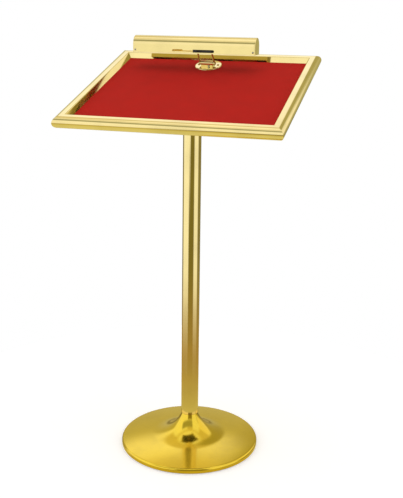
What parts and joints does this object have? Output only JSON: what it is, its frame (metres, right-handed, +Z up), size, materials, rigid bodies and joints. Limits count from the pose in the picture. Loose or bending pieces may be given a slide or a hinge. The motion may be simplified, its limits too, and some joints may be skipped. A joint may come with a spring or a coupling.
{
  "type": "bible stand",
  "caption": "Floor-standing brass bible stand: weighted round foot, plain pole, tilting framed tray lined with red cloth, and a tube lamp on two arms at the back edge.",
  "frame": {"origin": "middle of the foot's underside, on the floor", "axes": "+Z up along the pole, the reader stands at -Y and the tray's high edge and lamp are towards +Y, +X to the reader's right"},
  "size_m": [0.5326, 0.4466, 1.0381],
  "materials": {
    "polished_brass": "polished and lacquered",
    "satin_brass": "machined",
    "cast_iron": "as cast, primed",
    "rubber": "matt ribbed sheet",
    "black_plastic": "moulded satin",
    "zinc_steel": "zinc plated",
    "nylon": "natural",
    "red_cloth": "short-pile felt",
    "plywood": "plain edge",
    "black_hardboard": "painted black",
    "white_reflector": "white stoved",
    "phenolic": "moulded",
    "lamp_glass": "opal"
  },
  "bodies": {
    "stand": {"base_cover": "polished_brass", "base_weight": "cast_iron", "base_pad": "rubber", "cord_gland": "black_plastic", "neck_spigot": "polished_brass", "tie_rod": "zinc_steel", "tie_rod_washer": "zinc_steel", "tie_rod_nut": "zinc_steel", "pole_tube": "polished_brass", "tilt_yoke": "satin_brass", "tilt_bolt": "zinc_steel", "friction_washers": "nylon", "knob_washer": "zinc_steel"},
    "clamp_knob": {"tilt_knob": "black_plastic", "knob_insert": "satin_brass"},
    "tray": {"tilt_lug": "satin_brass", "lug_screws": "zinc_steel", "rail_back": "polished_brass", "rail_front": "polished_brass", "rail_left": "polished_brass", "rail_right": "polished_brass", "corner_keys": "zinc_steel", "board_clips": "zinc_steel", "clip_screws": "zinc_steel", "red_cloth": "red_cloth", "tray_board": "plywood", "bottom_panel": "black_hardboard", "lamp_plate": "polished_brass", "plate_screws": "satin_brass", "lamp_knuckle": "polished_brass", "knuckle_screw": "zinc_steel", "lamp_stud": "zinc_steel", "stud_nut": "zinc_steel"},
    "lamp_arms": {"arm_left": "polished_brass", "arm_right": "polished_brass", "pivot_pin": "satin_brass", "slide_shoe": "black_plastic"},
    "shade": {"shade_tube": "polished_brass", "end_cap_left": "polished_brass", "end_cap_right": "polished_brass", "end_cap_screws": "zinc_steel", "reflector": "white_reflector", "lampholder_left": "phenolic", "lampholder_right": "phenolic", "bulb_left": "lamp_glass", "bulb_right": "lamp_glass", "bulb_cap_left": "satin_brass", "bulb_cap_right": "satin_brass", "switch_body": "phenolic", "switch_nut": "satin_brass"},
    "button": {"switch_button": "black_plastic"}
  },
  "joints": [
    {"name": "tray_tilt", "type": "hinge", "parent": "stand", "child": "tray", "pos_m": [0, 0, 0.866], "axis": [1, 0, 0], "range_deg": [-16.5, 28.5]},
    {"name": "knob_turn", "type": "hinge", "parent": "stand", "child": "clamp_knob", "pos_m": [0.03, 0, 0.866], "axis": [1, 0, 0], "range_deg": [0, 270]},
    {"name": "lamp_swing", "type": "hinge", "parent": "tray", "child": "lamp_arms", "pos_m": [-0.009, 0.15092, 0.97266], "axis": [1, 0, 0], "range_deg": [-40, 45]},
    {"name": "shade_slide", "type": "slide", "parent": "lamp_arms", "child": "shade", "axis": [1, 0, 0], "range_m": [-0.006, 0.06]},
    {"name": "switch_press", "type": "slide", "parent": "shade", "child": "button", "axis": [0, -1, 0], "range_m": [0, 0.003], "stiffness_N_per_m": 600, "springref_m": -0.001}
  ]
}
